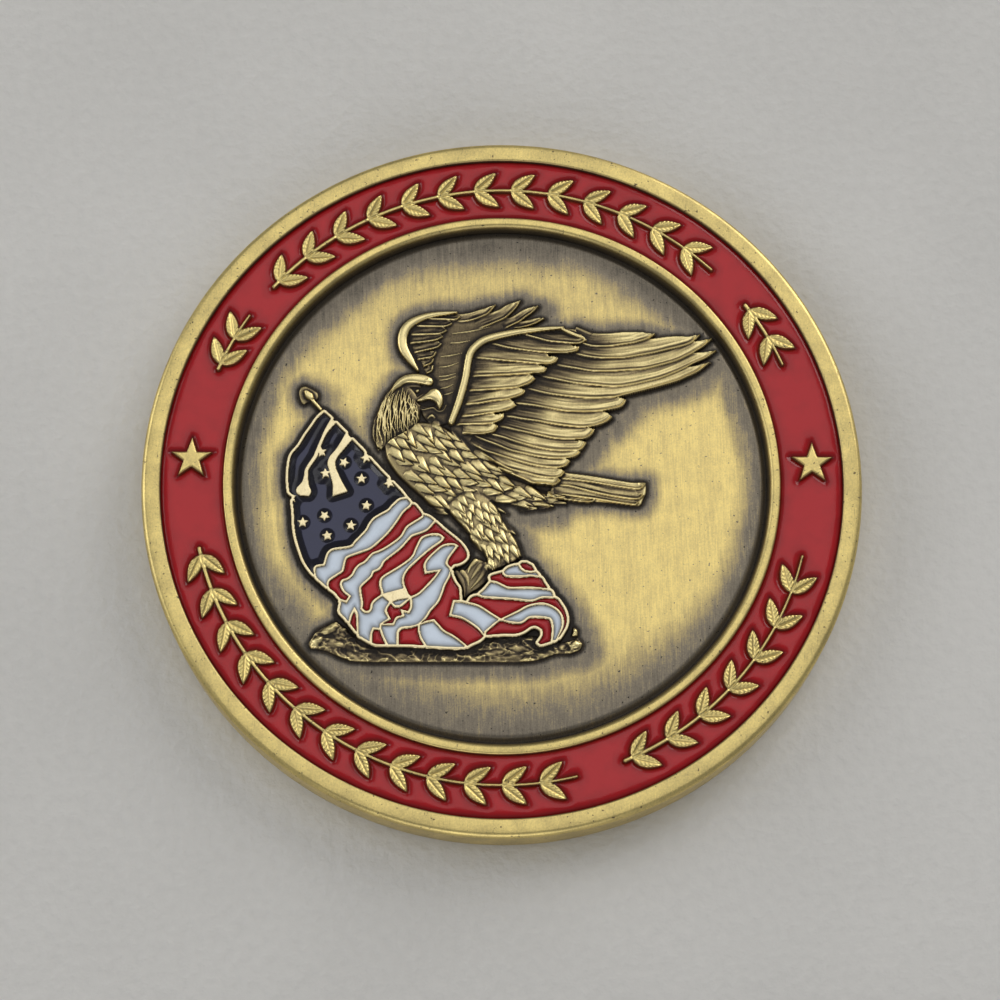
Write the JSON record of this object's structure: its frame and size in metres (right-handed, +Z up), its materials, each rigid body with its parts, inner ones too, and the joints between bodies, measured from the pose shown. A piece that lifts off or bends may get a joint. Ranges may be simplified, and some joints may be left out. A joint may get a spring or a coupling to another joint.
{
  "type": "challenge coin",
  "caption": "Round struck brass challenge coin, with an eagle and flag in relief, a red enamelled border ring with laurel sprigs and stars, and enamelled stripes.",
  "frame": {"origin": "centre of the reverse rim's flat face, on which the coin lies", "axes": "+Z up through the obverse, +Y towards the top of the obverse's picture, +X to its right"},
  "size_m": [0.045, 0.045, 0.0032],
  "materials": {
    "antique_brass": "antiqued, brushed field, polished high points",
    "red_enamel": "glossy soft enamel",
    "white_enamel": "glossy soft enamel",
    "navy_enamel": "glossy soft enamel"
  },
  "bodies": {
    "root": {"coin_body": "antique_brass", "red_ring_enamel": "red_enamel", "navy_canton": "navy_enamel", "white_stripe_1": "white_enamel", "red_stripe_1": "red_enamel", "white_stripe_2": "white_enamel", "red_stripe_2": "red_enamel", "white_stripe_3": "white_enamel", "white_stripe_4": "white_enamel", "white_fold_crescent": "white_enamel", "red_fold_centre": "red_enamel", "red_hem_left": "red_enamel", "red_hem_middle": "red_enamel", "red_hem_right": "red_enamel", "white_hem": "white_enamel", "red_stripe_3": "red_enamel", "white_stripe_5": "white_enamel", "red_stripe_4": "red_enamel", "white_stripe_6": "white_enamel", "red_stripe_5": "red_enamel", "white_peak": "white_enamel", "red_peak": "red_enamel", "white_curl": "white_enamel", "red_curl": "red_enamel"}
  },
  "joints": []
}
